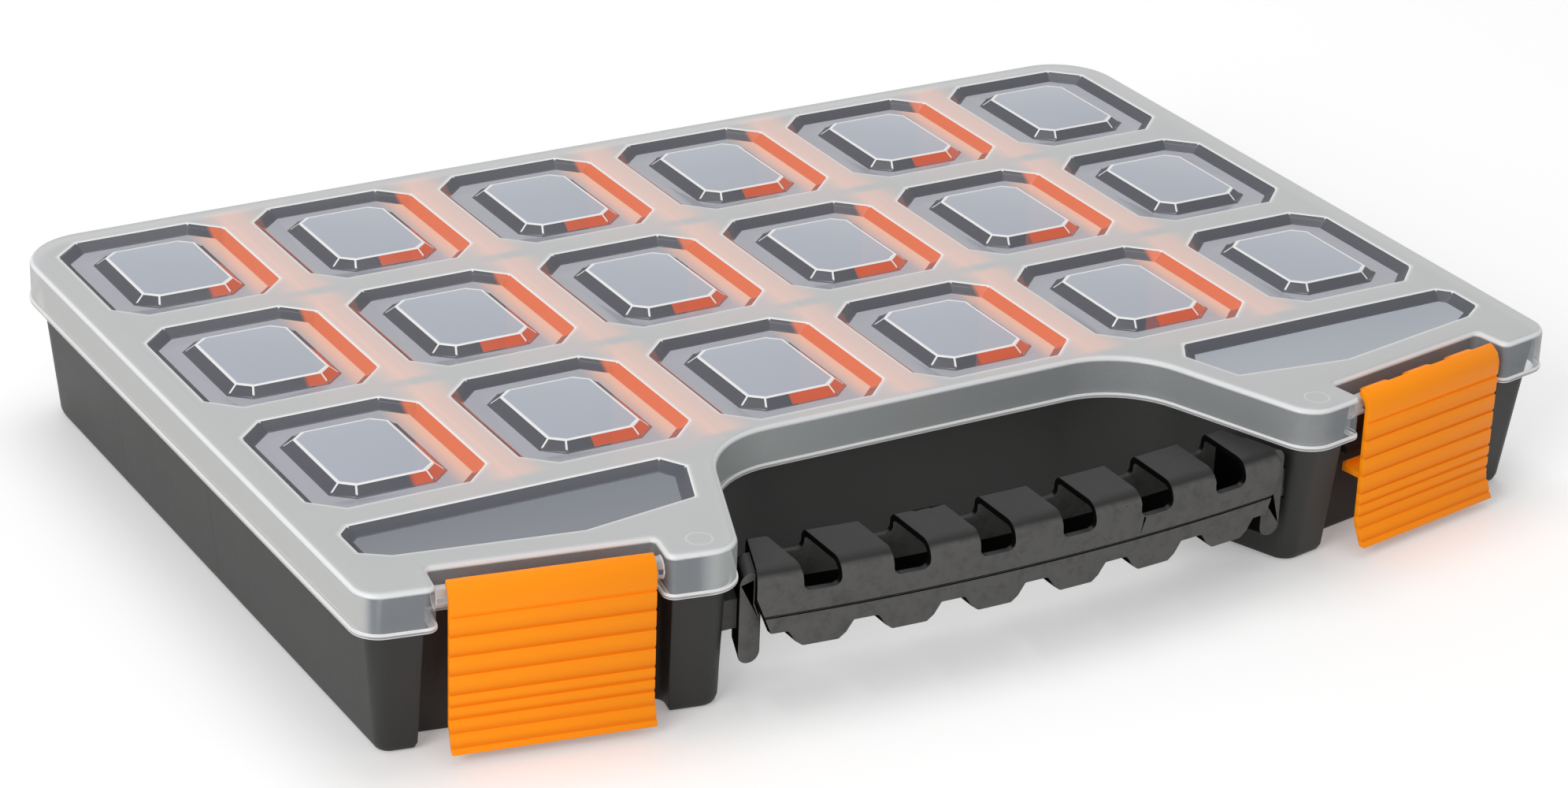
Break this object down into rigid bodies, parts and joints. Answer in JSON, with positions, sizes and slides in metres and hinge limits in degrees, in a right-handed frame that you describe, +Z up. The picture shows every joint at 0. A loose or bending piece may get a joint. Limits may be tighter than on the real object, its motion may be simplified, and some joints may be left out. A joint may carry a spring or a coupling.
{
  "type": "compartment storage case",
  "caption": "Shallow compartment case: black tray with loose dividers, hinged clear lid with pressed recesses, snap latches and a carry handle in a front cut-out.",
  "frame": {"origin": "middle of the compartment grid, on the plane that the case stands on", "axes": "+X along the rows towards the right end, +Y towards the back hinges, the carry handle faces -Y, +Z up"},
  "size_m": [0.385, 0.2778, 0.0511],
  "materials": {
    "tray_black": "satin moulded polypropylene, black",
    "handle_black": "satin moulded polypropylene, black",
    "lid_clear": "natural translucent polypropylene, glossy ribs",
    "latch_orange": "satin orange polypropylene",
    "divider_orange": "satin orange-red polypropylene",
    "pin_steel": "drawn wire"
  },
  "bodies": {
    "base": {"base_tray": "tray_black", "carry_handle": "handle_black", "hinge_pin_left": "pin_steel", "hinge_pin_right": "pin_steel", "divider_row1_slot1": "divider_orange", "divider_row1_slot2": "divider_orange", "divider_row1_slot3": "divider_orange", "divider_row1_slot4": "divider_orange", "divider_row1_slot5": "divider_orange", "divider_row2_slot1": "divider_orange", "divider_row2_slot2": "divider_orange", "divider_row2_slot3": "divider_orange", "divider_row2_slot4": "divider_orange", "divider_row2_slot5": "divider_orange", "divider_row3_slot1": "divider_orange", "divider_row3_slot2": "divider_orange", "divider_row3_slot3": "divider_orange", "divider_row3_slot4": "divider_orange", "divider_row3_slot5": "divider_orange"},
    "lid": {"lid": "lid_clear"},
    "latch_left": {"latch_left": "latch_orange"},
    "latch_right": {"latch_right": "latch_orange"}
  },
  "joints": [
    {"name": "lid_hinge", "type": "hinge", "parent": "base", "child": "lid", "pos_m": [0, 0.1086, 0.0346], "axis": [-1, 0, 0], "range_deg": [0, 180]},
    {"name": "latch_left_swing", "type": "hinge", "parent": "lid", "child": "latch_left", "pos_m": [-0.14109, -0.14938, 0.0454], "axis": [-0.9842, 0.1771, 0], "range_deg": [-4, 110]},
    {"name": "latch_right_swing", "type": "hinge", "parent": "lid", "child": "latch_right", "pos_m": [0.14109, -0.14938, 0.0454], "axis": [-0.9842, -0.1771, 0], "range_deg": [-4, 110]}
  ]
}
